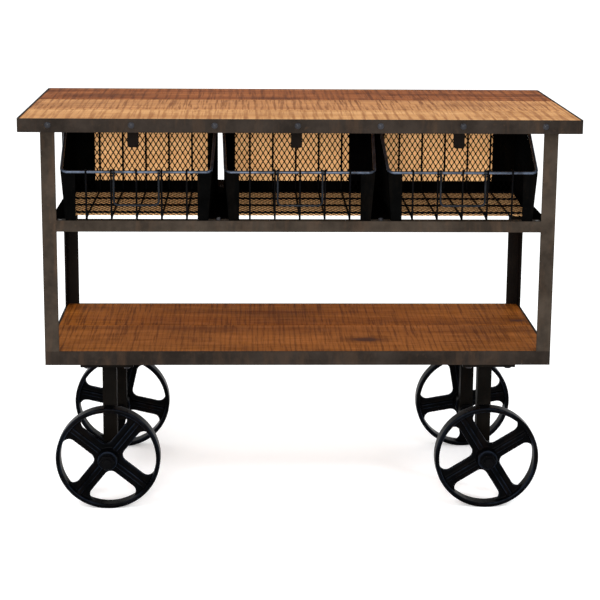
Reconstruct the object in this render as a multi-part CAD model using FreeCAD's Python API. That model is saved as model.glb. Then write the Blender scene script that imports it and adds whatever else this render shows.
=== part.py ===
"""Kitchen island cart: angle-iron frame, plank top and shelf, three sliding wire baskets, four spoked wheels.

Millimetres. +Z is up, the front faces -Y, +X is to the right of a person standing in front.
The origin is on the floor under the middle of the cart.
"""
import FreeCAD, Part
import math
import os

Vector = FreeCAD.Vector

# ---- driving dimensions --------------------------------------------------------------------------
HEIGHT = 914.0
TOP_LENGTH = 1236.0
TOP_DEPTH = 592.0
BAND_HEIGHT = 30.0
BAND_CORNER_RADIUS = 7.0
STEEL = 4.0                       # thickness of every angle and flat bar in the frame
PLANK_TOP = 26.0                  # thickness of the worktop planks
PLANK_SEAMS = (-127.0, 62.0)      # where the worktop planks meet, front to back
PLANK_GAP = 1.0
PLANK_EDGE = 1.2                  # worn edge on the planks

FRAME_LENGTH = 1152.0
FRAME_DEPTH = 460.0
LEG_FLANGE = 32.0
CROSS_BAR_HEIGHT = 6.0
CROSS_BAR_WIDTH = 40.0

MID_TOP = 676.0                   # top of the frame that carries the baskets
MID_HEIGHT = 25.0
RUNNER_WIDTH = 46.0               # flat bars front to back that the baskets slide on
OUTER_RUNNER_X = 537.0

SHELF_TOP = 373.5
SHELF_RAIL = 32.0
SHELF_SEAM = 10.0                 # where the two shelf planks meet

WHEEL_RADIUS = 120.0
WHEEL_WIDTH = 35.0
WHEEL_X = 437.0
WHEEL_Y = 222.0
RIM_THICKNESS = 10.0
TYRE_EDGE = 2.5
WEB_THICKNESS = 9.0
SPOKE_WIDTH = 38.0
SPOKE_RIB = (11.0, 22.0)          # width and full depth of the rib along each spoke
WINDOW_RADIUS = 16.0
HUB_RADIUS = 22.5
HUB_OUTER = 33.0                  # how far the hub reaches outboard of the wheel's middle
HUB_INNER = 52.0
AXLE_RADIUS = 10.0
AXLE_CLEARANCE = 0.05
AXLE_OUTER = 52.0
WHEEL_TURN = {"front_left": 51.0, "front_right": 32.0, "rear_left": -13.0, "rear_right": 10.0}

POST_SIZE = 32.0
POST_Y = 150.0
POST_BOTTOM = 96.0
PLATE_LENGTH = 120.0
PLATE_DEPTH = 118.0
PLATE_THICKNESS = 6.0
PLATE_SETBACK = 2.0               # from the frame's outer face
PLATE_BOLT_SPAN = 45.0            # each side of the wheel's middle
PLATE_BOLT_INSET = 14.0
AXLE_NUT_FLATS = 30.0
AXLE_NUT_HEIGHT = 10.0
WASHER_RADIUS = 17.0
WASHER_THICKNESS = 2.5
WASHER_GAP = 0.5                  # between the turning hub and the outer washer

BASKET_PITCH = 365.0
BASKETS = {"left": -1, "middle": 0, "right": 1}
BASKET_FRONT = -226.0
BASKET_BACK = 129.5
BASKET_CLEARANCE = 0.3            # under the basket, over the runners
BASKET_FRONT_HALF = 158.0         # half width at the bottom of the front
BASKET_BACK_HALF = 174.0          # half width at the back, the same all the way up
BASKET_FLARE = 0.08               # lean of the sides at the front, per millimetre of height; none at the back
RIM_HEIGHT = 786.0
BASKET_TOP = 868.0
SCOOP_SLOPE = 0.44                # rise of the side's top edge per millimetre towards the back
RIM_RADIUS = 3.5
RIM_BEND = 30.0
WIRE_RADIUS = 2.0
WIRE_BEND = 8.0
WIRE_PITCH = 56.0
CROSS_WIRES = 4
CROSS_WIRE_PITCH = 89.0
STRIP_WIDTH = 22.0
STRIP_THICKNESS = 1.6
MESH_THICKNESS = 1.2
MESH_BOTTOM = 680.4
FRONT_SLOT = 38.0                 # open stretch of the bottom behind the front wires
LINER_THICKNESS = 3.8
LINER_INSET = 4.0                 # from the line of the sides
LINER_SETBACK = 22.0              # from the front edge of the bottom mesh

HANDLE_RADIUS = 2.5
HANDLE_HALF_WIDTH = 50.0
HANDLE_DROP = 74.0
HANDLE_BEND = 10.0
HANDLE_EYE_WIDTH = 6.0
HANDLE_EYE_WALL = 2.2
HANDLE_CLEARANCE = 0.35
HANDLE_STAND_OFF = 1.5            # between the hanging handle and the front wires

STOP_OFFSET = -8.0                # the stops and rivets sit a little left of the middle
STOP_Y = -200.0
STOP_WIDTH = 25.0
STOP_BOTTOM = 838.0
STOP_CORNER = 6.0
RIVET_PITCH = 181.0
RIVET_RADIUS = 7.0
RIVET_HEAD = 3.0
BOLT_FLATS = 13.0
SMALL_BOLT_FLATS = 9.0            # between the baskets, where there is little room
BOLT_HEAD = 5.0
BOLT_RADIUS = 4.0

# ---- worked out from the above -------------------------------------------------------------------
TOP_X = TOP_LENGTH / 2
TOP_Y = TOP_DEPTH / 2
FRAME_X = FRAME_LENGTH / 2
FRAME_Y = FRAME_DEPTH / 2
BAND_BOTTOM = HEIGHT - BAND_HEIGHT
PLANK_BOTTOM = HEIGHT - PLANK_TOP
LEG_TOP = PLANK_BOTTOM - CROSS_BAR_HEIGHT
SHELF_BOTTOM = SHELF_TOP - SHELF_RAIL
BASKET_BOTTOM = MID_TOP + BASKET_CLEARANCE
CORNERS = {"front_left": (-1, -1), "front_right": (1, -1), "rear_left": (-1, 1), "rear_right": (1, 1)}
UP = Vector(0, 0, 1)
ALONG_X = Vector(1, 0, 0)
ALONG_Y = Vector(0, 1, 0)


# ---- shape helpers -------------------------------------------------------------------------------
def box(x0, x1, y0, y1, z0, z1):
    """A box between two corners, given in any order."""
    low = Vector(min(x0, x1), min(y0, y1), min(z0, z1))
    return Part.makeBox(abs(x1 - x0), abs(y1 - y0), abs(z1 - z0), low)


def rod_between(start, end, radius):
    """A straight round rod."""
    return Part.makeCylinder(radius, start.distanceToPoint(end), start, end - start)


def fused(shapes):
    """One clean solid from touching shapes."""
    whole = shapes[0]
    for shape in shapes[1:]:
        whole = whole.fuse(shape)
    return whole.removeSplitter()


def cut_all(shape, tools):
    """The shape without each of the tools."""
    for tool in tools:
        shape = shape.cut(tool)
    return shape


def plate(points, normal, thickness):
    """A flat plate: its outline extruded along its normal."""
    outline = Part.makePolygon(list(points) + [points[0]])
    return Part.Face(outline).extrude(normal * thickness)


def bent_rod(points, radius, bend):
    """A round rod along straight runs, with an arc at every inner point."""
    edges = []
    last = points[0]
    for before, corner, after in zip(points, points[1:], points[2:]):
        back = (before - corner).normalize()
        ahead = (after - corner).normalize()
        half = back.getAngle(ahead) / 2
        reach = bend / math.tan(half)
        start = corner + back * reach
        end = corner + ahead * reach
        inward = (back + ahead).normalize()
        middle = corner + inward * (bend / math.sin(half) - bend)
        edges.append(Part.LineSegment(last, start).toShape())
        edges.append(Part.Arc(start, middle, end).toShape())
        last = end
    edges.append(Part.LineSegment(last, points[-1]).toShape())
    circle = Part.Wire(Part.makeCircle(radius, points[0], points[1] - points[0]))
    return Part.Wire(edges).makePipeShell([circle], True, True)


def dome(centre, direction, radius, height):
    """A round rivet head: the cap of a sphere standing on a plane."""
    sphere_radius = (radius * radius + height * height) / (2 * height)
    middle = centre - direction * (sphere_radius - height)
    ball = Part.makeSphere(sphere_radius, middle)
    return ball.common(Part.makeCylinder(radius + 1, height + 1, centre, direction))


def hexagon(centre, direction, across_flats, height):
    """A hexagonal head or nut standing on a plane."""
    corner = across_flats / math.sqrt(3)
    side = Vector(1, 0, 0)
    other = direction.cross(side)
    turns = [math.radians(60 * step) for step in range(6)]
    points = [centre + side * (corner * math.cos(t)) + other * (corner * math.sin(t)) for t in turns]
    return plate(points, direction, height)


def angle_ring(half_x, half_y, low, height, flange, corner_radius):
    """Four mitred angle bars round a rectangle: upright outside, flat flange at the bottom."""
    outer = box(-half_x, half_x, -half_y, half_y, low, low + height)
    if corner_radius:
        uprights = [e for e in outer.Edges if abs(e.Vertexes[0].Z - e.Vertexes[1].Z) > height / 2]
        outer = outer.makeFillet(corner_radius, uprights)
    tray = box(-half_x + STEEL, half_x - STEEL, -half_y + STEEL, half_y - STEEL, low + STEEL, low + height)
    inner_x = half_x - flange
    inner_y = half_y - flange
    ring = outer.cut(tray).cut(box(-inner_x, inner_x, -inner_y, inner_y, low, low + height))
    deep = flange + 5
    pieces = {}
    for name, side in (("front", -1), ("rear", 1)):
        points = [Vector(-half_x, side * half_y, low), Vector(half_x, side * half_y, low),
                  Vector(half_x - deep, side * (half_y - deep), low),
                  Vector(-half_x + deep, side * (half_y - deep), low)]
        pieces[name] = ring.common(plate(points, UP, height))
    for name, side in (("left", -1), ("right", 1)):
        points = [Vector(side * half_x, -half_y, low), Vector(side * half_x, half_y, low),
                  Vector(side * (half_x - deep), half_y - deep, low),
                  Vector(side * (half_x - deep), -half_y + deep, low)]
        pieces[name] = ring.common(plate(points, UP, height))
    return pieces


def planks(half_x, half_y, seams, low, thickness):
    """Boards side by side, front to back, inside a ring of angle bars."""
    clear = STEEL + 0.5
    edges = [-half_y + clear] + list(seams) + [half_y - clear]
    boards = []
    for front, back in zip(edges, edges[1:]):
        y0 = front + (PLANK_GAP / 2 if front in seams else 0)
        y1 = back - (PLANK_GAP / 2 if back in seams else 0)
        board = box(-half_x + clear, half_x - clear, y0, y1, low, low + thickness)
        top_edges = [e for e in board.Edges if e.BoundBox.ZMin > low + thickness / 2]
        boards.append(board.makeChamfer(PLANK_EDGE, top_edges))
    return boards


# ---- frame ---------------------------------------------------------------------------------------
def leg(side_x, side_y):
    """An angle-iron leg with its corner at the frame's corner, standing on the shelf rails."""
    x = side_x * FRAME_X
    y = side_y * FRAME_Y
    facing = box(x, x - side_x * LEG_FLANGE, y, y - side_y * STEEL, SHELF_TOP, LEG_TOP)
    flank = box(x, x - side_x * STEEL, y, y - side_y * LEG_FLANGE, SHELF_TOP, LEG_TOP)
    return fused([facing, flank])


def mid_rail(side_y):
    """An angle bar under the baskets: the front one hangs from its flange, the rear one stands up from it."""
    reach = FRAME_X - LEG_FLANGE
    y = side_y * FRAME_Y
    low = MID_TOP - (MID_HEIGHT if side_y < 0 else 2 * STEEL)
    seat = MID_TOP - (STEEL if side_y < 0 else 2 * STEEL)
    upright = box(-reach, reach, y, y - side_y * STEEL, low, low + MID_HEIGHT)
    flange = box(-reach, reach, y, y - side_y * MID_HEIGHT, seat, seat + STEEL)
    return fused([upright, flange])


def runner(x):
    """A flat bar that carries baskets: it lies on the rear flange and laps under the front one."""
    half = RUNNER_WIDTH / 2
    lap = FRAME_Y - MID_HEIGHT
    outer = FRAME_Y - STEEL
    bar = box(x - half, x + half, -lap, outer, MID_TOP - STEEL, MID_TOP)
    step = box(x - half, x + half, -outer, -lap + 2 * STEEL, MID_TOP - 2 * STEEL, MID_TOP - STEEL)
    return fused([bar, step])


def top_side_bar(side_x):
    """A flat bar front to back under the planks, over the two legs of one side."""
    x = side_x * FRAME_X
    reach = TOP_Y - BAND_HEIGHT
    return box(x, x - side_x * CROSS_BAR_WIDTH, -reach, reach, LEG_TOP, PLANK_BOTTOM)


def stop_tab(x):
    """A tab with rounded lower corners that a basket's back runs up against."""
    tab = box(x - STOP_WIDTH / 2, x + STOP_WIDTH / 2, STOP_Y - STEEL, STOP_Y, STOP_BOTTOM, LEG_TOP)
    low_edges = [e for e in tab.Edges if e.BoundBox.ZMax < STOP_BOTTOM + 1 and e.BoundBox.XLength < 1]
    return tab.makeFillet(STOP_CORNER, low_edges)


def stop_bar():
    """The flat bar along the cart under the planks that carries the three basket stops."""
    reach = FRAME_X - CROSS_BAR_WIDTH
    return box(-reach, reach, STOP_Y - STEEL, STOP_Y + 2 * STEEL, LEG_TOP, PLANK_BOTTOM)


def rivet(face, outward):
    """A domed rivet: its head stands on the band's face and its shank goes into the plank's edge."""
    head = dome(face, outward, RIVET_RADIUS, RIVET_HEAD)
    shank = Part.makeCylinder(RIVET_RADIUS * 0.4, 20.0, face, outward * -1)
    return fused([head, shank])


def band_rivets():
    """Rivets round the top band: seven along the front and the rear, three on each side."""
    rivets = []
    height = BAND_BOTTOM + BAND_HEIGHT * 0.53
    for side in (-1, 1):
        for step in range(-3, 4):
            x = step * RIVET_PITCH + STOP_OFFSET
            rivets.append(rivet(Vector(x, side * TOP_Y, height), Vector(0, side, 0)))
        for step in (-1, 0, 1):
            rivets.append(rivet(Vector(side * TOP_X, step * RIVET_PITCH, height), Vector(side, 0, 0)))
    return rivets


def bolt(seat, direction, length, flats=BOLT_FLATS):
    """A bolt: hexagonal head standing on its seat, shank going the other way."""
    head = hexagon(seat, direction, flats, BOLT_HEAD)
    return fused([head, Part.makeCylinder(BOLT_RADIUS, length, seat, direction * -1)])


def frame_bolts():
    """Bolts through the runner ends, clear of the baskets, and through the wheel plates from below."""
    bolts = []
    for side_x in (-1, 1):
        for side_y in (-1, 1):
            y = side_y * (FRAME_Y - MID_HEIGHT / 2)
            above = Vector(side_x * BASKET_PITCH / 2, y, MID_TOP)
            bolts.append(bolt(above, UP, 2 * STEEL, SMALL_BOLT_FLATS))
            below = Vector(side_x * OUTER_RUNNER_X, y, MID_TOP - 2 * STEEL)
            bolts.append(bolt(below, UP * -1, 2 * STEEL))
    low = SHELF_BOTTOM - PLATE_THICKNESS
    outer = FRAME_Y - PLATE_SETBACK
    for side_x, side_y in CORNERS.values():
        for offset in (-PLATE_BOLT_SPAN, PLATE_BOLT_SPAN):
            for y in (outer - PLATE_BOLT_INSET, outer - PLATE_DEPTH + PLATE_BOLT_INSET):
                seat = Vector(side_x * WHEEL_X + offset, side_y * y, low)
                bolts.append(bolt(seat, UP * -1, PLATE_THICKNESS + 3 * STEEL))
    return bolts


# ---- wheels --------------------------------------------------------------------------------------
def wheel_window():
    """One opening between two spokes, with rounded corners, in the first quarter of the wheel."""
    edge = SPOKE_WIDTH / 2
    quarter = box(edge, WHEEL_RADIUS, -WHEEL_WIDTH, WHEEL_WIDTH, edge, WHEEL_RADIUS)
    start = Vector(0, -WHEEL_WIDTH, 0)
    inside = Part.makeCylinder(WHEEL_RADIUS - RIM_THICKNESS, 2 * WHEEL_WIDTH, start, ALONG_Y)
    window = quarter.common(inside)
    across = [e for e in window.Edges if e.BoundBox.YLength > WHEEL_WIDTH]
    return window.makeFillet(WINDOW_RADIUS, across)


def wheel():
    """A cast wheel on the Y axis, outboard side at -Y: rim, web with four windows, ribs and hub."""
    inner_radius = WHEEL_RADIUS - RIM_THICKNESS
    face = Vector(0, -WHEEL_WIDTH / 2, 0)
    tyre = Part.makeCylinder(WHEEL_RADIUS, WHEEL_WIDTH, face, ALONG_Y)
    tyre = tyre.makeFillet(TYRE_EDGE, [e for e in tyre.Edges if e.BoundBox.YLength < 1])
    tyre = tyre.cut(Part.makeCylinder(inner_radius, WHEEL_WIDTH, face, ALONG_Y))
    web = Part.makeCylinder(inner_radius + 1, WEB_THICKNESS, Vector(0, -WEB_THICKNESS / 2, 0), ALONG_Y)
    window = wheel_window()
    for step in range(4):
        turned = window.copy()
        turned.rotate(Vector(0, 0, 0), ALONG_Y, 90 * step)
        web = web.cut(turned)
    half_width = SPOKE_RIB[0] / 2
    half_depth = SPOKE_RIB[1] / 2
    reach = inner_radius + 1
    ribs = [box(-reach, reach, -half_depth, half_depth, -half_width, half_width),
            box(-half_width, half_width, -half_depth, half_depth, -reach, reach)]
    hub = Part.makeCylinder(HUB_RADIUS, HUB_OUTER + HUB_INNER, Vector(0, -HUB_OUTER, 0), ALONG_Y)
    hub = hub.makeChamfer(1.5, [e for e in hub.Edges if e.BoundBox.YLength < 1])
    bore = Part.makeCylinder(AXLE_RADIUS + AXLE_CLEARANCE, 200, Vector(0, -100, 0), ALONG_Y)
    return fused([tyre, web] + ribs + [hub]).cut(bore)


def at_corner(shape, side_x, side_y, turn=0.0):
    """A copy of a part made for a front wheel, moved to one corner; rear ones face backwards."""
    placed = shape.copy()
    if side_y > 0:
        placed.rotate(Vector(0, 0, 0), UP, 180)
    placed.rotate(Vector(0, 0, 0), ALONG_Y, -turn)
    placed.translate(Vector(side_x * WHEEL_X, side_y * WHEEL_Y, WHEEL_RADIUS))
    return placed


def wheel_post(side_x, side_y):
    """A square post welded under a plate, bored for the axle."""
    x = side_x * WHEEL_X
    half = POST_SIZE / 2
    top = SHELF_BOTTOM - PLATE_THICKNESS
    outer = side_y * (FRAME_Y - PLATE_SETBACK)
    inner = outer - side_y * PLATE_DEPTH
    base = box(x - PLATE_LENGTH / 2, x + PLATE_LENGTH / 2, outer, inner, top, SHELF_BOTTOM)
    bar = box(x - half, x + half, side_y * (POST_Y - half), side_y * (POST_Y + half), POST_BOTTOM, top)
    return fused([base, bar])


def axle():
    """A round axle on the Y axis of a front wheel, from inside the post to beyond the hub."""
    inner = WHEEL_Y - POST_Y + POST_SIZE / 2 + AXLE_NUT_HEIGHT + 4
    bar = Part.makeCylinder(AXLE_RADIUS, AXLE_OUTER + inner, Vector(0, -AXLE_OUTER, 0), ALONG_Y)
    return bar.makeChamfer(1.0, [e for e in bar.Edges if e.BoundBox.YLength < 1])


def axle_hardware():
    """Washers each side of the hub, the outer nut, and the nut behind the post."""
    post_face = WHEEL_Y - POST_Y - POST_SIZE / 2
    seat = -HUB_OUTER - WASHER_GAP - WASHER_THICKNESS
    pieces = []
    for start in (seat, post_face - WASHER_THICKNESS):
        pieces.append(Part.makeCylinder(WASHER_RADIUS, WASHER_THICKNESS, Vector(0, start, 0), ALONG_Y))
    pieces.append(hexagon(Vector(0, seat, 0), ALONG_Y * -1, AXLE_NUT_FLATS, AXLE_NUT_HEIGHT))
    pieces.append(hexagon(Vector(0, post_face + POST_SIZE, 0), ALONG_Y, AXLE_NUT_FLATS, AXLE_NUT_HEIGHT))
    return [piece.cut(axle()) for piece in pieces]


# ---- baskets -------------------------------------------------------------------------------------
def side_point(side, y, height, out=0.0):
    """A point on a basket's side panel, moved outwards."""
    back = (y - BASKET_FRONT) / (BASKET_BACK - BASKET_FRONT)
    half = BASKET_FRONT_HALF + (BASKET_BACK_HALF - BASKET_FRONT_HALF) * back
    lean = BASKET_FLARE * (1 - back) * (height - BASKET_BOTTOM)
    return Vector(side * (half + lean + out), y, height)


def knee_y():
    """Where the side's sloping top edge reaches its full height."""
    return BASKET_FRONT + (BASKET_TOP - RIM_HEIGHT) / SCOOP_SLOPE


def top_at(y):
    """Height of a side's scooped top edge."""
    return min(BASKET_TOP, RIM_HEIGHT + (y - BASKET_FRONT) * SCOOP_SLOPE)


def side_panel(side, out, thickness, outline):
    """A side panel, slightly twisted from front to back, trimmed to an outline of (depth, height) points."""
    sections = []
    for y in (BASKET_FRONT, BASKET_BACK):
        points = [side_point(side, y, BASKET_BOTTOM, out), side_point(side, y, BASKET_BOTTOM, out + thickness),
                  side_point(side, y, BASKET_TOP, out + thickness), side_point(side, y, BASKET_TOP, out)]
        sections.append(Part.makePolygon(points + points[:1]))
    whole = Part.makeLoft(sections, True, True)
    reach = 2 * BASKET_BACK_HALF
    return whole.common(plate([Vector(-reach, y, z) for y, z in outline], ALONG_X, 2 * reach))


def side_mesh(side):
    """The side's mesh panel, under the whole scooped edge."""
    outline = [(BASKET_FRONT, BASKET_BOTTOM), (BASKET_FRONT, RIM_HEIGHT), (knee_y(), BASKET_TOP),
               (BASKET_BACK, BASKET_TOP), (BASKET_BACK, BASKET_BOTTOM)]
    return side_panel(side, -MESH_THICKNESS, MESH_THICKNESS, outline)


def side_frame(side):
    """A U of sheet-steel strips and the rim rod along one side of a basket."""
    inner_front = BASKET_FRONT + STRIP_WIDTH
    inner_back = BASKET_BACK - STRIP_WIDTH
    inner_low = BASKET_BOTTOM + STRIP_WIDTH
    outline = [(BASKET_FRONT, BASKET_BOTTOM), (BASKET_FRONT, RIM_HEIGHT), (inner_front, top_at(inner_front)),
               (inner_front, inner_low), (inner_back, inner_low), (inner_back, BASKET_TOP),
               (BASKET_BACK, BASKET_TOP), (BASKET_BACK, BASKET_BOTTOM)]
    corners = [side_point(side, BASKET_FRONT, RIM_HEIGHT), side_point(side, knee_y(), BASKET_TOP),
               side_point(side, BASKET_BACK, BASKET_TOP)]
    strips = side_panel(side, 0, STRIP_THICKNESS, outline)
    return fused([strips, bent_rod(corners, RIM_RADIUS, RIM_BEND)])


def upright_strip(side, y, thickness, bottom, top, width):
    """A vertical strip on the front or back of a basket, its outer edge following the flare."""
    outer_low = side_point(side, y, bottom)
    outer_high = side_point(side, y, top)
    inner_low = Vector(outer_low.x - side * width, y, bottom)
    inner_high = Vector(outer_low.x - side * width, y, top)
    return plate([outer_low, outer_high, inner_high, inner_low], ALONG_Y, thickness)


def back_plate(y, thickness, bottom, top, inset):
    """A flat panel across the back of a basket, as wide as the flare allows less an inset."""
    points = []
    for side, height in ((-1, bottom), (1, bottom), (1, top), (-1, top)):
        point = side_point(side, y, height)
        points.append(Vector(point.x - side * inset, y, height))
    return plate(points, ALONG_Y, thickness)


def back_frame():
    """Corner strips, bottom strip and top rod at the back of a basket."""
    y = BASKET_BACK + MESH_THICKNESS
    strips = [upright_strip(side, y, STRIP_THICKNESS, BASKET_BOTTOM, BASKET_TOP, STRIP_WIDTH)
              for side in (-1, 1)]
    strips.append(back_plate(y, STRIP_THICKNESS, MESH_BOTTOM, MESH_BOTTOM + STRIP_WIDTH + 4, 0))
    ends = [side_point(side, y, BASKET_TOP) for side in (-1, 1)]
    return fused(strips + [rod_between(ends[0], ends[1], RIM_RADIUS)])


def front_panel():
    """The low open front: rim rod, corner strips and the upright wires."""
    parts = [upright_strip(side, BASKET_FRONT, STRIP_THICKNESS, BASKET_BOTTOM, RIM_HEIGHT, STRIP_WIDTH)
             for side in (-1, 1)]
    rim = [side_point(side, BASKET_FRONT, RIM_HEIGHT) for side in (-1, 1)]
    parts.append(rod_between(rim[0], rim[1], RIM_RADIUS))
    low = BASKET_BOTTOM + WIRE_RADIUS
    for step in range(-2, 3):
        foot = Vector(step * WIRE_PITCH, BASKET_FRONT, low)
        parts.append(rod_between(foot, foot + UP * (RIM_HEIGHT - low), WIRE_RADIUS))
    return fused(parts)


def inner_wires():
    """Wires welded on the inside of the bottom and back meshes: some front to back, some across."""
    low = MESH_BOTTOM + MESH_THICKNESS + WIRE_RADIUS
    back = BASKET_BACK - WIRE_RADIUS
    solids = []
    for step in range(-2, 3):
        x = step * WIRE_PITCH
        path = [Vector(x, BASKET_FRONT + WIRE_RADIUS, low), Vector(x, back, low),
                Vector(x, back, BASKET_TOP - RIM_RADIUS)]
        solids.append(bent_rod(path, WIRE_RADIUS, WIRE_BEND))
    for step in range(CROSS_WIRES):
        y = BASKET_FRONT + FRONT_SLOT + WIRE_RADIUS + step * CROSS_WIRE_PITCH
        ends = [side_point(side, y, low, -WIRE_RADIUS) for side in (-1, 1)]
        solids.append(rod_between(ends[0], ends[1], WIRE_RADIUS))
    return [fused(solids)]


def floor_plate(start, inset, low, thickness):
    """A flat panel over the basket's bottom, from behind the open slot to the back."""
    places = ((-1, start), (1, start), (1, BASKET_BACK), (-1, BASKET_BACK))
    corners = [side_point(side, y, low, -inset) for side, y in places]
    return plate(corners, UP, thickness)


def mesh_panels():
    """The expanded-metal panels as thin plates: two sides, the back and the bottom."""
    inset = 2 * MESH_THICKNESS
    panels = [side_mesh(side) for side in (-1, 1)]
    panels.append(back_plate(BASKET_BACK, MESH_THICKNESS, MESH_BOTTOM, BASKET_TOP - RIM_RADIUS, inset))
    panels.append(floor_plate(BASKET_FRONT + FRONT_SLOT, inset, MESH_BOTTOM, MESH_THICKNESS))
    return panels


def liner_boards():
    """Thin boards behind the back mesh and under the bottom mesh."""
    y = BASKET_BACK + MESH_THICKNESS + STRIP_THICKNESS
    back = back_plate(y, LINER_THICKNESS, MESH_BOTTOM + 2, BASKET_TOP - RIM_RADIUS - 1, LINER_INSET)
    start = BASKET_FRONT + FRONT_SLOT + LINER_SETBACK
    return [back, floor_plate(start, LINER_INSET, MESH_BOTTOM - LINER_THICKNESS, LINER_THICKNESS)]


def handle():
    """A drop handle: a bent rod in front of the wires, hung by two eyes round the front rim."""
    y = BASKET_FRONT - WIRE_RADIUS - HANDLE_RADIUS - HANDLE_STAND_OFF
    top = RIM_HEIGHT - 2
    low = RIM_HEIGHT - HANDLE_DROP
    path = [Vector(-HANDLE_HALF_WIDTH, y, top), Vector(-HANDLE_HALF_WIDTH, y, low),
            Vector(HANDLE_HALF_WIDTH, y, low), Vector(HANDLE_HALF_WIDTH, y, top)]
    parts = [bent_rod(path, HANDLE_RADIUS, HANDLE_BEND)]
    bores = []
    for side in (-1, 1):
        start = Vector(side * HANDLE_HALF_WIDTH - HANDLE_EYE_WIDTH / 2, BASKET_FRONT, RIM_HEIGHT)
        eye_radius = RIM_RADIUS + HANDLE_CLEARANCE + HANDLE_EYE_WALL
        parts.append(Part.makeCylinder(eye_radius, HANDLE_EYE_WIDTH, start, ALONG_X))
        bores.append(Part.makeCylinder(RIM_RADIUS + HANDLE_CLEARANCE, 3 * HANDLE_EYE_WIDTH,
                                       start - ALONG_X * HANDLE_EYE_WIDTH, ALONG_X))
    return cut_all(fused(parts), bores)


def basket():
    """The pieces of one basket, about its own middle, each cut clear of the ones before it."""
    front = [front_panel()]
    frame = [cut_all(piece, front) for piece in (side_frame(-1), side_frame(1))]
    frame.append(cut_all(back_frame(), frame))
    meshes = [cut_all(panel, front + frame) for panel in mesh_panels()]
    meshes[2] = cut_all(meshes[2], meshes[:2])
    meshes[3] = cut_all(meshes[3], meshes[:3])
    wires = [cut_all(piece, front + frame + meshes) for piece in inner_wires()]
    liner = [cut_all(board, front + frame + meshes + wires) for board in liner_boards()]
    return {"front": front, "frame": frame, "mesh": meshes, "wires": wires, "liner": liner,
            "handle": [handle()]}


# ---- the whole cart ------------------------------------------------------------------------------
def build():
    """Every node by name, as a list of its solids."""
    nodes = {}
    boards = planks(TOP_X, TOP_Y, PLANK_SEAMS, PLANK_BOTTOM, PLANK_TOP)
    rivets = band_rivets()
    for name, board in zip(("front", "middle", "rear"), boards):
        nodes["top_plank_" + name] = [cut_all(board, rivets)]
    band = angle_ring(TOP_X, TOP_Y, BAND_BOTTOM, BAND_HEIGHT, BAND_HEIGHT, BAND_CORNER_RADIUS)
    for name, bar in band.items():
        nodes["top_band_" + name] = [cut_all(bar, rivets)]
    nodes["band_rivets"] = rivets

    bolts = frame_bolts()
    for corner, (side_x, side_y) in CORNERS.items():
        nodes["leg_" + corner] = [leg(side_x, side_y)]
    for side, name in ((-1, "left"), (1, "right")):
        nodes["top_side_bar_" + name] = [top_side_bar(side)]
        nodes["outer_runner_" + name] = [cut_all(runner(side * OUTER_RUNNER_X), bolts)]
        nodes["basket_runner_" + name] = [cut_all(runner(side * BASKET_PITCH / 2), bolts)]
    for side, name in ((-1, "front"), (1, "rear")):
        nodes["mid_rail_" + name] = [cut_all(mid_rail(side), bolts)]
    nodes["basket_stop_bar"] = [stop_bar()]
    nodes["basket_stops"] = [stop_tab(place * BASKET_PITCH + STOP_OFFSET) for place in BASKETS.values()]

    for name, bar in angle_ring(FRAME_X, FRAME_Y, SHELF_BOTTOM, SHELF_RAIL, SHELF_RAIL, 0).items():
        nodes["shelf_rail_" + name] = [cut_all(bar, bolts)]
    shelf = planks(FRAME_X, FRAME_Y, (SHELF_SEAM,), SHELF_BOTTOM + STEEL, SHELF_RAIL - STEEL)
    for name, board in zip(("front", "rear"), shelf):
        nodes["shelf_plank_" + name] = [cut_all(board, bolts)]
    nodes["frame_bolts"] = bolts

    cast_wheel, bar, hardware = wheel(), axle(), axle_hardware()
    nodes["axle_nuts"] = []
    for corner, (side_x, side_y) in CORNERS.items():
        placed_axle = at_corner(bar, side_x, side_y)
        nodes["wheel_" + corner] = [at_corner(cast_wheel, side_x, side_y, WHEEL_TURN[corner])]
        nodes["axle_" + corner] = [placed_axle]
        nodes["wheel_post_" + corner] = [cut_all(wheel_post(side_x, side_y), [placed_axle] + bolts)]
        nodes["axle_nuts"] += [at_corner(piece, side_x, side_y) for piece in hardware]

    pieces = basket()
    for name, place in BASKETS.items():
        for piece, solids in pieces.items():
            moved = [solid.copy() for solid in solids]
            for solid in moved:
                solid.translate(Vector(place * BASKET_PITCH, 0, 0))
            nodes["basket_" + name + "_" + piece] = moved
    return nodes


def main():
    os.makedirs("parts", exist_ok=True)
    nodes = build()
    for name, solids in nodes.items():
        whole = [solid for shape in solids for solid in shape.Solids]
        shape = whole[0] if len(whole) == 1 else Part.makeCompound(whole)
        shape.exportStep("parts/" + name + ".step")
        state = "valid" if shape.isValid() else "INVALID"
        print(name, len(whole), state, round(shape.Volume / 1000.0, 2), "cm3")
    print(len(nodes), "nodes")


main()
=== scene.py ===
"""Kitchen island cart: materials, wire baskets, cast wheels, lights and camera. Metres."""

import math

import bmesh
import bpy
from mathutils import Matrix, Vector


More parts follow.
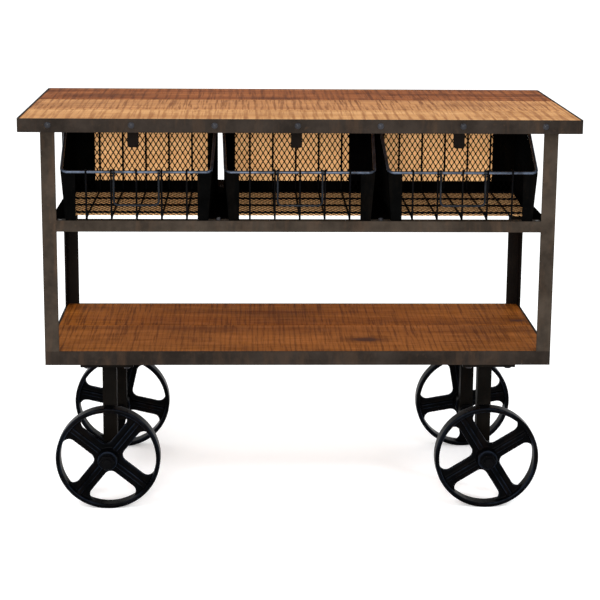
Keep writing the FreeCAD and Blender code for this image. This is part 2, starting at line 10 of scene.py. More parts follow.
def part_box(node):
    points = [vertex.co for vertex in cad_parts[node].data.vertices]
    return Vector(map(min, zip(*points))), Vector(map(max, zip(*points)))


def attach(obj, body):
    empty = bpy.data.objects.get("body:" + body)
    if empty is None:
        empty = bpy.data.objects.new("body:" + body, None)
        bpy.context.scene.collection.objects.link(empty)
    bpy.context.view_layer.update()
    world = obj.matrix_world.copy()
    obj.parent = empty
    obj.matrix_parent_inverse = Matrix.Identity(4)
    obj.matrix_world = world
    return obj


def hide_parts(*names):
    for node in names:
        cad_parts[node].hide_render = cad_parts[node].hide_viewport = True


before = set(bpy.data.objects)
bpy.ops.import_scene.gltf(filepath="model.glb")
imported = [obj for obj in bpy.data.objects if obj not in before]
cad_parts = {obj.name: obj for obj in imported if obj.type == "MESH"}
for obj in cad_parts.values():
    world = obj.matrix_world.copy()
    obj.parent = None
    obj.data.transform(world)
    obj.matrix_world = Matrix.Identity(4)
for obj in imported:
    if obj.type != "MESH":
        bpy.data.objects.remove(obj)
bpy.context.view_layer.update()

BASKET_NAMES = ("left", "middle", "right")
CORNERS = ("front_left", "front_right", "rear_left", "rear_right")

# ---- sizes that the frame doesn't state ----------------------------------------------------------
RIM_RADIUS = 0.0035
WIRE_RADIUS = 0.0023
WIRE_PITCH = 0.056
CROSS_WIRE_PITCH = 0.089
BASKET_FRONT_HALF = 0.158         # half width at the bottom of the front
BASKET_BACK_HALF = 0.174          # half width at the back, the same all the way up
BASKET_FLARE = 0.08               # lean of the sides at the front, per metre of height
STRIP_WIDTH = 0.022
STRIP_THICKNESS = 0.0014
BACK_STRIPS = {"left": (0.050, 0.024), "middle": (0.026, 0.044), "right": (0.026, 0.056)}
FRONT_SLOT = 0.038
SCOOP_SLOPE = 0.44
RIM_BEND = 0.014
WIRE_BEND = 0.004
WIRE_TOE = 0.03                   # how far behind the front a wire reaches the floor
WIRE_HOOK = (0.006, 0.008, 0.018) # below the rim: the wire's end, the foot of its bend, where it hangs plumb
HALF_SHEET = 0.0006               # half the thickness of the CAD mesh panels
FLOOR_LIFT = 0.0049               # from the basket's bottom to the middle of its mesh floor
FLOOR_INSET = 0.003
SIDE_LIFT = 0.002                 # the side meshes start this far above the basket's bottom
HEM_LAP = 0.004
SIDE_INSET = 0.0012
CROSS_WIRE_INSET = 0.0015
CELL_WIDTH = 0.013                # one diamond of the expanded metal
CELL_HEIGHT = 0.021
STRAND_WIDTH = 0.0019
STRAND_DEPTH = 0.0012
FLOOR_STRAND_DEPTH = 0.0006       # thin, so that the boards below show through at a low angle
SIDE_STRAND_DEPTH = 0.0015        # the side panels are seen nearly edge on
STRAND_TWIST = (0.93, 0.37)       # along and out of the sheet
STRAND_WAIST = (0.62, 0.46)       # half widths at the ends and in the middle, in strand widths
SHORTEST_STRAND = 0.05            # of a strand's length; shorter cut ends are left out
WHEEL_VOXEL = 0.0015
WHEEL_SMOOTHING = (0.5, 6)        # factor and rounds
WHEEL_DETAIL = 0.3                # share of the faces kept
FLOOR_SIZE = 30.0

# ---- camera --------------------------------------------------------------------------------------
CAMERA_PLACE = Vector((-0.1148, -3.8742, 1.3827))
CAMERA_YAW = -1.816               # degrees, positive to the left
CAMERA_PITCH = -11.62
CAMERA_ROLL = 0.457
CAMERA_LENS = 99.34
CAMERA_SHIFT_Y = -0.10

# Knots in the shelf: place along and across the cart, and size, in metres.
SHELF_KNOTS = ((0.160, -0.125, 0.026), (0.546, 0.055, 0.016))


# ---- material graphs -----------------------------------------------------------------------------
class Graph:
    """A material's node tree with short calls for the nodes that this scene uses."""

    def __init__(self, name):
        self.material = bpy.data.materials.new(name)
        self.material.use_nodes = True
        self.tree = self.material.node_tree
        self.tree.nodes.clear()
        self.shader = self.add("ShaderNodeBsdfPrincipled")
        output = self.add("ShaderNodeOutputMaterial")
        self.tree.links.new(self.shader.outputs[0], output.inputs[0])
        self.place = self.add("ShaderNodeTexCoord").outputs["Object"]

    def add(self, kind, **settings):
        node = self.tree.nodes.new(kind)
        for key, value in settings.items():
            setattr(node, key, value)
        return node

    def feed(self, socket, value):
        """Links a socket to an output, or sets its value."""
        if isinstance(value, bpy.types.NodeSocket):
            self.tree.links.new(value, socket)
        elif value is not None:
            socket.default_value = value

    def stretched(self, scale, offset=(0, 0, 0)):
        """Object coordinates scaled along each axis and moved."""
        node = self.add("ShaderNodeMapping")
        self.feed(node.inputs["Vector"], self.place)
        node.inputs["Scale"].default_value = scale
        node.inputs["Location"].default_value = offset
        return node.outputs[0]

    def noise(self, vector, scale, detail=4.0, roughness=0.55):
        node = self.add("ShaderNodeTexNoise")
        self.feed(node.inputs["Vector"], vector)
        node.inputs["Scale"].default_value = scale
        node.inputs["Detail"].default_value = detail
        node.inputs["Roughness"].default_value = roughness
        return node.outputs["Fac"]

    def bands(self, vector, direction, period, distortion=0.0, detail_scale=1.0):
        """Soft stripes across one axis, period metres apart before any stretch of the vector."""
        node = self.add("ShaderNodeTexWave", wave_type="BANDS", bands_direction=direction)
        self.feed(node.inputs["Vector"], vector)
        node.inputs["Scale"].default_value = 2 * math.pi / (20 * period)
        node.inputs["Distortion"].default_value = distortion
        node.inputs["Detail"].default_value = 2.0
        node.inputs["Detail Scale"].default_value = detail_scale
        return node.outputs["Fac"]

    def ramp(self, factor, stops):
        """A colour ramp; each stop is (position, colour) or (position, grey)."""
        node = self.add("ShaderNodeValToRGB")
        self.feed(node.inputs[0], factor)
        while len(node.color_ramp.elements) < len(stops):
            node.color_ramp.elements.new(0.5)
        for element, (position, colour) in zip(node.color_ramp.elements, stops):
            grey = isinstance(colour, (int, float))
            element.position = position
            element.color = (colour, colour, colour, 1) if grey else tuple(colour) + (1,)
        return node.outputs[0]

    def mix(self, factor, first, second, blend="MIX"):
        node = self.add("ShaderNodeMix", data_type="RGBA", blend_type=blend)
        self.feed(node.inputs[0], factor)
        for socket, value in ((node.inputs[6], first), (node.inputs[7], second)):
            self.feed(socket, value if isinstance(value, bpy.types.NodeSocket) else tuple(value) + (1,))
        return node.outputs[2]

    def math(self, operation, first, second=None):
        node = self.add("ShaderNodeMath", operation=operation)
        self.feed(node.inputs[0], first)
        self.feed(node.inputs[1], second)
        return node.outputs[0]

    def knot(self, along, depth, size):
        """Masks of a knot's dark core and of the darker ring of grain round it."""
        vector = self.stretched((0.55 / size, 1.0 / size, 0.0), (-along * 0.55 / size, -depth / size, 0.0))
        distance = self.add("ShaderNodeVectorMath", operation="LENGTH")
        self.feed(distance.inputs[0], vector)
        wobble = self.math("MULTIPLY", self.noise(self.place, 60.0), 0.7)
        near = self.math("MULTIPLY", self.math("ADD", distance.outputs["Value"], wobble), 0.4)
        return self.ramp(near, ((0.30, 1.0), (0.46, 0.0))), self.ramp(near, ((0.36, 1.0), (0.85, 0.0)))

    def rounded(self, radius):
        """The surface normal with edges softened to a small radius."""
        node = self.add("ShaderNodeBevel", samples=4)
        node.inputs["Radius"].default_value = radius
        return node.outputs[0]

    def bump(self, height, distance, normal=None, strength=1.0):
        node = self.add("ShaderNodeBump")
        self.feed(node.inputs["Height"], height)
        node.inputs["Distance"].default_value = distance
        node.inputs["Strength"].default_value = strength
        if normal is not None:
            self.feed(node.inputs["Normal"], normal)
        return node.outputs[0]

    def finish(self, colour, roughness, normal, metallic=0.0, specular=0.5):
        self.feed(self.shader.inputs["Base Color"], colour)
        self.feed(self.shader.inputs["Roughness"], roughness)
        self.feed(self.shader.inputs["Normal"], normal)
        self.shader.inputs["Metallic"].default_value = metallic
        self.shader.inputs["Specular IOR Level"].default_value = specular
        return self.material


def sawn_wood(name, tones, seed, mark, coarse, fine, mottle=0.35, knots=(), painted_light_glow=0.0):
    """Rough-sawn board: grain along X, saw marks front to back, mottled patches and knots.

    mark is the pitch of the wide saw marks; coarse, fine and mottle are the weights of the wide marks, the
    narrow marks and the patches. The last argument makes the board glow in its own colour: painted light
    that brightens a board lying in shade.
    """
    light, middle, dark = tones
    g = Graph(name)
    shift = (seed * 1.37, seed * 0.71, seed * 0.29)
    grain = g.noise(g.stretched((1.1, 30.0, 30.0), shift), 1.0, 6.0, 0.62)
    fibres = g.noise(g.stretched((14.0, 230.0, 230.0), shift), 1.0, 4.0, 0.6)
    patches = g.noise(g.stretched((2.6, 8.0, 8.0), shift), 1.3, 5.0, 0.6)
    fade = g.noise(g.stretched((4.5, 9.0, 9.0), shift), 1.0, 4.0, 0.6)
    across = g.stretched((1.0, 0.10, 0.10), shift)
    wide_marks = g.bands(across, "X", mark, 2.6, 4.0)
    fine_marks = g.noise(g.stretched((170.0, 5.0, 5.0), shift), 1.0, 3.0, 0.65)
    base = g.mix(g.ramp(grain, ((0.36, 0.0), (0.62, 1.0))), middle, light)
    base = g.mix(g.math("MULTIPLY", g.ramp(fibres, ((0.42, 1.0), (0.60, 0.0))), 0.28), base, dark)
    base = g.mix(g.math("MULTIPLY", g.ramp(patches, ((0.47, 0.0), (0.66, 1.0))), mottle), base, dark)
    wide = g.math("MULTIPLY", g.ramp(wide_marks, ((0.02, 1.0), (0.34, 0.0))),
                  g.ramp(fade, ((0.32, 0.1), (0.6, 1.0))))
    base = g.mix(g.math("MULTIPLY", wide, coarse), base, dark)
    narrow = g.math("MULTIPLY", g.ramp(fine_marks, ((0.41, 1.0), (0.49, 0.0))),
                    g.ramp(fade, ((0.35, 1.0), (0.68, 0.25))))
    base = g.mix(g.math("MULTIPLY", narrow, fine), base, dark)
    for along, depth, size in knots:
        core, ring = g.knot(along, depth, size)
        base = g.mix(g.math("MULTIPLY", ring, 0.6), base, dark)
        base = g.mix(g.math("MULTIPLY", core, 0.85), base, (0.040, 0.017, 0.012))
    relief = g.math("ADD", g.math("MULTIPLY", wide, -1.0), g.math("MULTIPLY", narrow, -0.5))
    relief = g.math("ADD", relief, g.math("MULTIPLY", fibres, 0.6))
    roughness = g.ramp(fibres, ((0.3, 0.72), (0.7, 0.52)))
    # Painted light: the board emits its own colour, so it stays bright where it lies in shade.
    if painted_light_glow:
        g.feed(g.shader.inputs["Emission Color"], base)
        g.shader.inputs["Emission Strength"].default_value = painted_light_glow
    return g.finish(base, roughness, g.bump(relief, 0.0006, g.rounded(0.0012), 0.7), specular=0.01)


def painted_iron(name, colour, worn, wear, roughness=(0.45, 0.65), edge=0.0012, pits=0.0002, specular=0.012,
                 painted_ridge_highlight=None):
    """Dark painted or oiled iron: cloudy colour, brown wear, fine pitting, and on request a painted highlight
    that turns sharp ridges a lighter colour.
    """
    g = Graph(name)
    cloud = g.noise(g.stretched((1, 1, 1)), 11.0, 6.0, 0.7)
    streak = g.noise(g.stretched((14.0, 14.0, 3.0), (3, 1, 2)), 2.0, 5.0, 0.7)
    grit = g.noise(g.place, 420.0, 3.0, 0.6)
    pitted = g.noise(g.stretched((1, 1, 1), (5, 3, 1)), 90.0, 4.0, 0.7)
    lighter = tuple(min(1.0, c * 2.0) for c in colour)
    base = g.mix(g.ramp(cloud, ((0.40, 0.0), (0.64, 1.0))), colour, lighter)
    base = g.mix(g.math("MULTIPLY", g.ramp(streak, ((0.5, 0.0), (0.66, 1.0))), wear), base, worn)
    base = g.mix(g.math("MULTIPLY", g.ramp(pitted, ((0.6, 0.0), (0.72, 1.0))), wear), base, worn)
    # Painted highlight: sharp ridges (high pointiness) are coloured lighter and bluish in place of glints
    # from the lamps.
    if painted_ridge_highlight:
        ridge = g.add("ShaderNodeNewGeometry").outputs["Pointiness"]
        ridge_highlight_mask = g.math("MULTIPLY", g.ramp(ridge, ((0.512, 0.0), (0.57, 1.0))),
                        g.ramp(cloud, ((0.42, 0.1), (0.58, 1.0))))
        base = g.mix(ridge_highlight_mask, base, painted_ridge_highlight)
    rough = g.ramp(cloud, ((0.3, roughness[0]), (0.7, roughness[1])))
    relief = g.math("ADD", g.math("MULTIPLY", grit, 0.35), pitted)
    return g.finish(base, rough, g.bump(relief, pits, g.rounded(edge), 0.7), specular=specular)


def drawn_steel(name, colour, roughness, metallic):
    """Bare steel rod, slightly scratched and darkened."""
    g = Graph(name)
    scratches = g.noise(g.stretched((60, 400, 400)), 1.0, 4.0, 0.6)
    stain = g.noise(g.place, 45.0, 4.0, 0.6)
    base = g.mix(g.ramp(stain, ((0.4, 0.0), (0.65, 1.0))), colour, tuple(c * 0.35 for c in colour))
    rough = g.ramp(scratches, ((0.3, roughness), (0.7, roughness + 0.2)))
    return g.finish(base, rough, g.bump(scratches, 0.00008, None, 0.6), metallic=metallic)


# ---- meshes --------------------------------------------------------------------------------------
def new_piece(name, mesh, material, body):
    """A finished mesh as an object in the row frame that rides on a body."""
    piece = bpy.data.objects.new(name, mesh)
    bpy.context.scene.collection.objects.link(piece)
    mesh.materials.clear()
    mesh.materials.append(material)
    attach(piece, body)
    return piece


def mesh_from(name, build, smooth_angle=None):
    """A mesh filled in by a function that takes a bmesh."""
    bm = bmesh.new()
    build(bm)
    mesh = bpy.data.meshes.new(name)
    bm.to_mesh(mesh)
    bm.free()
    if smooth_angle is not None:
        mesh.shade_smooth()
        mesh.set_sharp_from_angle(angle=math.radians(smooth_angle))
    return mesh


def rounded_path(points, bend, steps=6):
    """A polyline through the points with each inner corner turned into an arc."""
    path = [Vector(points[0])]
    for before, corner, after in zip(points, points[1:], points[2:]):
        before, corner, after = Vector(before), Vector(corner), Vector(after)
        back = (before - corner).normalized()
        ahead = (after - corner).normalized()
        half = back.angle(ahead) / 2
        if half > math.radians(89):
            continue
        shorter = min((before - corner).length, (after - corner).length)
        reach = min(bend / math.tan(half), shorter * 0.49)
        radius = reach * math.tan(half)
        centre = corner + (back + ahead).normalized() * (radius / math.sin(half))
        start = corner + back * reach - centre
        end = corner + ahead * reach - centre
        axis = start.cross(end).normalized()
        turn = start.angle(end)
        for step in range(steps + 1):
            path.append(centre + Matrix.Rotation(turn * step / steps, 3, axis) @ start)
    path.append(Vector(points[-1]))
    return path


def add_tube(bm, path, radius, sides=10):
    """A round tube along a polyline, with flat ends."""
    rings = []
    reference = None
    for index, point in enumerate(path):
        before = path[max(index - 1, 0)]
        after = path[min(index + 1, len(path) - 1)]
        direction = (after - before).normalized()
        if reference is None:
            reference = direction.orthogonal().normalized()
        else:
            reference = (reference - direction * reference.dot(direction)).normalized()
        other = direction.cross(reference)
        ring = []
        for side in range(sides):
            turn = 2 * math.pi * side / sides
            ring.append(bm.verts.new(point + (reference * math.cos(turn) + other * math.sin(turn)) * radius))
        rings.append(ring)
    for first, second in zip(rings, rings[1:]):
        for side in range(sides):
            after = (side + 1) % sides
            bm.faces.new((first[side], first[after], second[after], second[side]))
    bm.faces.new(list(reversed(rings[0])))
    bm.faces.new(rings[-1])


def add_slab(bm, outline, normal, thickness):
    """A flat plate: an outline pushed along its normal."""
    low = [bm.verts.new(point) for point in outline]
    high = [bm.verts.new(point + normal * thickness) for point in outline]
    bm.faces.new(list(reversed(low)))
    bm.faces.new(high)
    count = len(outline)
    for index in range(count):
        after = (index + 1) % count
        bm.faces.new((low[index], low[after], high[after], high[index]))


def clipped(start, end, outline):
    """The part of a 2-D segment inside a convex outline that runs anticlockwise, or None."""
    enter, leave = 0.0, 1.0
    run = end - start
    for first, second in zip(outline, outline[1:] + outline[:1]):
        edge = second - first
        inward = Vector((-edge.y, edge.x))
        distance = (start - first).dot(inward)
        speed = run.dot(inward)
        if abs(speed) < 1e-12:
            if distance < 0:
                return None
            continue
        cut = -distance / speed
        if speed > 0:
            enter = max(enter, cut)
        else:
            leave = min(leave, cut)
    if leave - enter < SHORTEST_STRAND:
        return None
    return start + run * enter, start + run * leave


def add_strand(bm, start, end, across_plane, depth):
    """One strand of expanded metal: a flat bar twisted out of the sheet and waisted in the middle."""
    run = (end - start).normalized()
    side = run.cross(across_plane).normalized()
    tilt = (side * STRAND_TWIST[0] + across_plane * STRAND_TWIST[1]).normalized()
    lift = run.cross(tilt).normalized()
    wide, narrow = STRAND_WAIST
    up = lift * (depth / 2)
    rings = []
    for point, width in ((start, wide), ((start + end) / 2, narrow), (end, wide)):
        half = tilt * (STRAND_WIDTH * width)
        corners = ((-1, -1), (1, -1), (1, 1), (-1, 1))
        rings.append([bm.verts.new(point + a * half + b * up) for a, b in corners])
    for first, second in zip(rings, rings[1:]):
        for index in range(4):
            after = (index + 1) % 4
            bm.faces.new((first[index], first[after], second[after], second[index]))
    bm.faces.new(list(reversed(rings[0])))
    bm.faces.new(rings[-1])


def add_expanded_metal(bm, outline, to_space, normal, cell_across, cell_along, depth):
    """Diamond openings over a convex 2-D outline; to_space turns (u, v) into a point of the row frame."""
    low_u = min(p.x for p in outline)
    high_u = max(p.x for p in outline)
    low_v = min(p.y for p in outline)
    high_v = max(p.y for p in outline)
    columns = int((high_u - low_u) / (cell_across / 2)) + 2
    rows = int((high_v - low_v) / (cell_along / 2)) + 1
    for column in range(columns):
        middle = low_u + column * cell_across / 2
        for row in range(rows):
            lean = (-1) ** (row + column) * cell_across / 4
            start = Vector((middle - lean, low_v + row * cell_along / 2))
            end = Vector((middle + lean, low_v + (row + 1) * cell_along / 2))
            part = clipped(start, end, outline)
            if part:
                add_strand(bm, to_space(part[0]), to_space(part[1]), normal, depth)


# ---- baskets -------------------------------------------------------------------------------------
class BasketShape:
    """The lines of one basket, read from its CAD nodes."""

    def __init__(self, name):
        front_low, front_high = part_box("basket_" + name + "_front")
        frame_low, frame_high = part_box("basket_" + name + "_frame")
        mesh_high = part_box("basket_" + name + "_mesh")[1]
        self.back_strips = dict(zip((-1, 1), BACK_STRIPS[name]))
        self.middle = (front_low[0] + front_high[0]) / 2
        self.front = (front_low[1] + front_high[1]) / 2
        self.back = mesh_high[1] - HALF_SHEET
        self.bottom = frame_low[2]
        self.rim = front_high[2] - RIM_RADIUS
        self.top = frame_high[2] - RIM_RADIUS
        self.knee = self.front + (self.top - self.rim) / SCOOP_SLOPE
        self.mesh_floor = self.bottom + FLOOR_LIFT

    def half(self, y, z):
        """Half the basket's width at one depth and height."""
        back = (y - self.front) / (self.back - self.front)
        lean = BASKET_FLARE * (1 - back) * (z - self.bottom)
        return BASKET_FRONT_HALF + (BASKET_BACK_HALF - BASKET_FRONT_HALF) * back + lean

    def side(self, side, y, z, inset=0.0):
        """A point on a side panel."""
        return Vector((self.middle + side * (self.half(y, z) - inset), y, z))

    def top_at(self, y):
        return min(self.top, self.rim + (y - self.front) * SCOOP_SLOPE)


def basket_meshwork(shape):
    """Expanded metal on the back, the bottom and both sides."""
    def build(bm):
        reach = BASKET_BACK_HALF
        back = [Vector((-reach, shape.mesh_floor)), Vector((reach, shape.mesh_floor)),
                Vector((reach, shape.top)), Vector((-reach, shape.top))]
        add_expanded_metal(bm, back, lambda p: Vector((shape.middle + p.x, shape.back, p.y)),
                           Vector((0, -1, 0)), CELL_WIDTH, CELL_HEIGHT, STRAND_DEPTH)
        start = shape.front + FRONT_SLOT
        places = ((-1, start), (1, start), (1, shape.back), (-1, shape.back))
        floor = [Vector((side * (shape.half(y, shape.mesh_floor) - FLOOR_INSET), y)) for side, y in places]
        add_expanded_metal(bm, floor, lambda p: Vector((shape.middle + p.x, p.y, shape.mesh_floor)),
                           Vector((0, 0, 1)), CELL_WIDTH, CELL_HEIGHT, FLOOR_STRAND_DEPTH)
        for side in (-1, 1):
            low = shape.bottom + SIDE_LIFT
            outline = [Vector((shape.front, low)), Vector((shape.back, low)), Vector((shape.back, shape.top)),
                       Vector((shape.knee, shape.top)), Vector((shape.front, shape.rim))]
            add_expanded_metal(bm, outline, lambda p, s=side: shape.side(s, p.x, p.y, SIDE_INSET),
                               Vector((-side, 0, 0)), CELL_WIDTH, CELL_HEIGHT, SIDE_STRAND_DEPTH)
    return mesh_from("basket_meshwork", build)


def basket_rim(shape):
    """The bright rod that runs round the top of the basket."""
    def build(bm):
        corners = ((shape.back, shape.top), (shape.knee, shape.top), (shape.front, shape.rim))
        left, right = ([shape.side(side, y, z) for y, z in corners] for side in (-1, 1))
        add_tube(bm, rounded_path(left + right[::-1], RIM_BEND, 8), RIM_RADIUS, 14)
        add_tube(bm, [left[0], right[0]], RIM_RADIUS, 14)
    return mesh_from("basket_rim", build, 40)


def basket_wirework(shape):
    """The front wires wrapped over the rim, and the wires across the floor and up the back."""
    def build(bm):
        low = shape.bottom + WIRE_RADIUS
        inner_floor = shape.mesh_floor + HALF_SHEET + WIRE_RADIUS
        inner_back = shape.back - HALF_SHEET - WIRE_RADIUS
        lift = RIM_RADIUS + WIRE_RADIUS * 0.55
        outside = shape.front - lift * 0.75
        tip, foot, plumb = (shape.rim - drop for drop in WIRE_HOOK)
        side_view = (
            (shape.front + lift, tip),
            (shape.front + lift, shape.rim + lift),
            (outside, shape.rim + lift),
            (outside, foot),
            (shape.front, plumb),
            (shape.front, low),
            (shape.front + WIRE_TOE, inner_floor),
            (inner_back, inner_floor),
            (inner_back, shape.top - RIM_RADIUS),
        )
        for step in range(-2, 3):
            wire = [Vector((shape.middle + step * WIRE_PITCH, y, z)) for y, z in side_view]
            add_tube(bm, rounded_path(wire, WIRE_BEND, 4), WIRE_RADIUS, 8)
        over = inner_floor + WIRE_RADIUS * 1.6
        for step in range(4):
            y = shape.front + FRONT_SLOT + WIRE_RADIUS + step * CROSS_WIRE_PITCH
            ends = [shape.side(side, y, over, CROSS_WIRE_INSET) for side in (-1, 1)]
            add_tube(bm, ends, WIRE_RADIUS, 8)
    return mesh_from("basket_wirework", build, 40)


def side_strip(bm, shape, side, y0, y1, tops):
    """A strip on the outside of a side panel, from y0 to y1, up to a height at each."""
    outline = [shape.side(side, y0, shape.bottom), shape.side(side, y1, shape.bottom),
               shape.side(side, y1, tops[1]), shape.side(side, y0, tops[0])]
    add_slab(bm, outline, Vector((side, 0, 0)), STRIP_THICKNESS)


def upright_strip(bm, shape, side, y, top, width):
    """A strip across the front or back at one edge of the basket."""
    low = shape.side(side, y, shape.bottom)
    high = shape.side(side, y, top)
    inner = Vector((side * width, 0, 0))
    outline = [low, high, Vector((low.x, y, top)) - inner, low - inner]
    add_slab(bm, outline, Vector((0, 1, 0)), STRIP_THICKNESS)


def basket_strips(shape):
    """Sheet-steel strips down the corners, along the bottoms of the sides and across the back."""
    def build(bm):
        behind = shape.back + HALF_SHEET
        inner_front, inner_back = shape.front + STRIP_WIDTH, shape.back - STRIP_WIDTH
        hem = shape.bottom + STRIP_WIDTH
        for side in (-1, 1):
            side_strip(bm, shape, side, shape.front, inner_front,
                       (shape.top_at(shape.front), shape.top_at(inner_front)))
            side_strip(bm, shape, side, inner_back, shape.back,
                       (shape.top_at(inner_back), shape.top_at(shape.back)))
            side_strip(bm, shape, side, inner_front, inner_back, (hem, hem))
            upright_strip(bm, shape, side, shape.front, shape.rim, STRIP_WIDTH)
            upright_strip(bm, shape, side, behind, shape.top, shape.back_strips[side])
        low, high = shape.bottom, shape.mesh_floor + STRIP_WIDTH + HEM_LAP
        corners = ((-1, low), (1, low), (1, high), (-1, high))
        add_slab(bm, [shape.side(side, behind, z) for side, z in corners], Vector((0, 1, 0)), STRIP_THICKNESS)
        bmesh.ops.recalc_face_normals(bm, faces=bm.faces)
    return mesh_from("basket_strips", build)


def make_baskets(paint, wire_paint, rim_steel):
    """Puts the fine parts of each basket in place of four of its CAD nodes."""
    for name in BASKET_NAMES:
        shape = BasketShape(name)
        body = "basket_" + name
        meshwork = new_piece("meshwork_" + name, basket_meshwork(shape), paint, body)
        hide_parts(body + "_mesh")
        wirework = new_piece("wirework_" + name, basket_wirework(shape), wire_paint, body)
        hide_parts(body + "_wires")
        rim = new_piece("rim_" + name, basket_rim(shape), rim_steel, body)
        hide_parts(body + "_front")
        strips = new_piece("strips_" + name, basket_strips(shape), paint, body)
        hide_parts(body + "_frame")


# ---- wheels --------------------------------------------------------------------------------------
def soft_cast(source, name):
    """A copy of a CAD mesh with the rounded edges and fillets of a sand casting."""
    bm = bmesh.new()
    bm.from_mesh(source.data)
    bmesh.ops.remove_doubles(bm, verts=bm.verts, dist=1e-6)
    mesh = bpy.data.meshes.new(name)
    bm.to_mesh(mesh)
    bm.free()
    cast = bpy.data.objects.new(name, mesh)
    bpy.context.scene.collection.objects.link(cast)
    remesh = cast.modifiers.new("remesh", "REMESH")
    remesh.mode = "VOXEL"
    remesh.voxel_size = WHEEL_VOXEL
    smooth = cast.modifiers.new("smooth", "SMOOTH")
    smooth.factor, smooth.iterations = WHEEL_SMOOTHING
    thin = cast.modifiers.new("thin", "DECIMATE")
    thin.ratio = WHEEL_DETAIL
    depsgraph = bpy.context.evaluated_depsgraph_get()
    result = bpy.data.meshes.new_from_object(cast.evaluated_get(depsgraph))
    bpy.data.objects.remove(cast)
    result.name = name
    result.shade_smooth()
    return result


def make_wheels(material):
    for corner in CORNERS:
        node = "wheel_" + corner
        wheel = new_piece("cast_" + node, soft_cast(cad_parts[node], "cast_" + node), material, node)
        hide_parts(node)


# ---- finishes on the CAD nodes -------------------------------------------------------------------
def paint_node(node, material):
    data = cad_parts[node].data
    data.materials.clear()
    data.materials.append(material)


def finish_nodes(finishes):
    """Gives every CAD node the material whose name prefix fits it first."""
    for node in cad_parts:
        for prefix, material in finishes:
            if node.startswith(prefix) or node.endswith(prefix):
                paint_node(node, material)
                break


# ---- surroundings --------------------------------------------------------------------------------
def make_floor():
    def build(bm):
        bmesh.ops.create_grid(bm, x_segments=1, y_segments=1, size=FLOOR_SIZE)
    mesh = mesh_from("floor", build)
    floor = bpy.data.objects.new("floor", mesh)
    bpy.context.scene.collection.objects.link(floor)
    g = Graph("floor_paint")
    tone = g.noise(g.place, 3.0, 2.0, 0.5)
    g.shader.inputs["Emission Color"].default_value = (1, 1, 1, 1)
    g.shader.inputs["Emission Strength"].default_value = 0.2
    mesh.materials.append(g.finish(g.mix(tone, (0.965, 0.965, 0.965), (0.98, 0.98, 0.98)), 0.9,
                                   g.bump(tone, 0.0002), specular=0.1))


def area_light(name, place, target, size, power, colour):
    data = bpy.data.lights.new(name, "AREA")
    data.shape = "RECTANGLE"
    data.size, data.size_y = size
    data.energy = power
    data.color = colour
    light = bpy.data.objects.new(name, data)
    bpy.context.scene.collection.objects.link(light)
    light.location = place
    light.rotation_euler = (Vector(target) - Vector(place)).to_track_quat("-Z", "Y").to_euler()


def make_lights():
    world = bpy.data.worlds.new("studio")
    bpy.context.scene.world = world
    world.use_nodes = True
    background = world.node_tree.nodes["Background"]
    background.inputs[0].default_value = (1.0, 1.0, 1.0, 1)
    background.inputs[1].default_value = 1.07
    area_light("front", (-0.5, -4.6, 1.7), (0, 0, 0.6), (2.4, 1.2), 170, (1.0, 0.98, 0.95))
    area_light("key", (-2.4, -2.6, 3.6), (0, 0, 0.5), (0.9, 0.9), 60, (0.90, 0.95, 1.0))
    area_light("rim", (2.4, -2.2, 2.6), (0, 0, 0.4), (0.5, 0.5), 40, (0.80, 0.90, 1.0))


def make_camera():
    yaw, pitch, roll = (math.radians(a) for a in (CAMERA_YAW, CAMERA_PITCH, CAMERA_ROLL))
    ahead = Vector((-math.sin(yaw) * math.cos(pitch), math.cos(yaw) * math.cos(pitch), math.sin(pitch)))
    level_right = Vector((math.cos(yaw), math.sin(yaw), 0))
    level_up = level_right.cross(ahead)
    right = level_right * math.cos(roll) + level_up * math.sin(roll)
    up = level_up * math.cos(roll) - level_right * math.sin(roll)
    data = bpy.data.cameras.new("camera")
    data.lens = CAMERA_LENS
    data.sensor_width = 36.0
    data.shift_y = CAMERA_SHIFT_Y
    camera = bpy.data.objects.new("camera", data)
    bpy.context.scene.collection.objects.link(camera)
    turn = Matrix((right, up, -ahead)).transposed().to_4x4()
    camera.matrix_world = Matrix.Translation(CAMERA_PLACE) @ turn
    bpy.context.scene.camera = camera


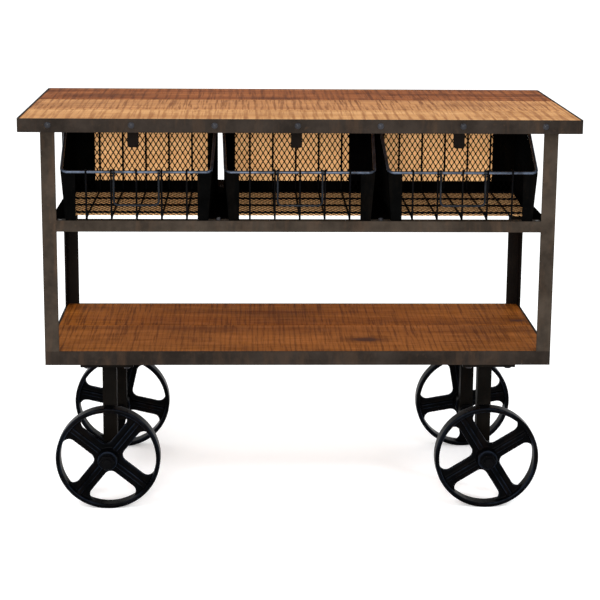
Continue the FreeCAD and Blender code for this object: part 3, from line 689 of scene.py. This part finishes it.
# ---- the scene -----------------------------------------------------------------------------------
def main():
    iron = painted_iron("frame_iron", (0.0108, 0.0082, 0.0066), (0.036, 0.022, 0.014), 0.55)
    # The next two irons are copies of the frame iron. The lighter one is painted light for the front legs and
    # front mid rail. The darker one is painted shade for the rear legs, rear mid rail, basket stops and top
    # side bars.
    lit_iron = painted_iron("lit_iron", (0.018, 0.0137, 0.0104), (0.050, 0.031, 0.020), 0.5)
    painted_shade_iron = painted_iron("painted_shade_iron", (0.003, 0.0022, 0.0018), (0.012, 0.007, 0.004), 0.25,
                             specular=0.02)
    post_iron = painted_iron("post_iron", (0.0022, 0.0019, 0.0016), (0.009, 0.005, 0.003), 0.25,
                             specular=0.01)
    basket_paint = painted_iron("basket_paint", (0.0007, 0.0007, 0.0007), (0.005, 0.0036, 0.0026), 0.3,
                                (0.4, 0.6), 0.0004, specular=0.0)
    wire_paint = painted_iron("wire_paint", (0.0010, 0.0010, 0.0012), (0.006, 0.005, 0.004), 0.2,
                              (0.35, 0.5), 0.0004, specular=0.01)
    # The cast wheels get a painted highlight: their ribs are coloured bluish where light would glint.
    cast_black = painted_iron("cast_black", (0.0004, 0.00045, 0.0006), (0.006, 0.0035, 0.0025), 0.25,
                              (0.22, 0.38), 0.0008, specular=0.012, painted_ridge_highlight=(0.016, 0.023, 0.038))
    bolt_iron = painted_iron("bolt_iron", (0.010, 0.010, 0.012), (0.03, 0.02, 0.014), 0.3,
                             (0.25, 0.4), 0.0006, specular=0.12)
    rim_steel = drawn_steel("rim_steel", (0.055, 0.070, 0.100), 0.28, 0.8)
    rod_steel = drawn_steel("rod_steel", (0.010, 0.012, 0.016), 0.35, 0.9)
    top_front = ((0.62, 0.34, 0.145), (0.46, 0.225, 0.085), (0.20, 0.072, 0.024))
    top_middle = ((0.56, 0.285, 0.115), (0.40, 0.172, 0.064), (0.12, 0.036, 0.014))
    top_rear = ((0.335, 0.115, 0.038), (0.215, 0.064, 0.020), (0.050, 0.014, 0.007))
    shelf_front = ((0.27, 0.094, 0.020), (0.185, 0.060, 0.011), (0.045, 0.013, 0.003))
    shelf_rear = ((0.27, 0.090, 0.014), (0.190, 0.056, 0.008), (0.045, 0.013, 0.003))
    # The liner's tones are raised and the liner is given a glow below. Both are painted light that makes the
    # shaded inside of the baskets read bright.
    liner = ((0.84, 0.50, 0.23), (0.76, 0.43, 0.19), (0.45, 0.21, 0.075))
    finishes = (
        ("top_plank_front", sawn_wood("wood_top_front", top_front, 1, 0.026, 0.7, 0.6)),
        ("top_plank_middle", sawn_wood("wood_top_middle", top_middle, 2, 0.015, 0.55, 0.8)),
        ("top_plank_rear", sawn_wood("wood_top_rear", top_rear, 3, 0.026, 0.5, 0.65, 0.7)),
        ("shelf_plank_front", sawn_wood("wood_shelf_front", shelf_front, 4, 0.0125, 0.35, 0.75, 0.45,
                                        SHELF_KNOTS[:1])),
        ("shelf_plank_rear", sawn_wood("wood_shelf_rear", shelf_rear, 5, 0.0115, 0.35, 0.75, 0.45,
                                       SHELF_KNOTS[1:])),
        ("_liner", sawn_wood("wood_liner", liner, 6, 0.03, 0.1, 0.15, 0.15, painted_light_glow=0.28)),
        ("wheel_post", post_iron),
        ("axle", wire_paint),
        ("band_rivets", bolt_iron),
        ("frame_bolts", bolt_iron),
        ("_handle", rod_steel),
        # Rear and tucked-in parts take the darker copy (painted shade). The front legs and front mid rail
        # take the lighter copy (painted light).
        ("leg_rear", painted_shade_iron),
        ("mid_rail_rear", painted_shade_iron),
        ("mid_rail_front", lit_iron),
        ("leg_front", lit_iron),
        ("outer_runner", basket_paint),
        ("basket_runner", basket_paint),
        ("basket_stop", painted_shade_iron),
        ("top_side_bar", painted_shade_iron),
        ("", iron),
    )
    finish_nodes(finishes)
    make_baskets(basket_paint, wire_paint, rim_steel)
    make_wheels(cast_black)
    make_floor()
    make_lights()
    make_camera()
    bpy.context.scene.view_settings.view_transform = "Standard"


main()
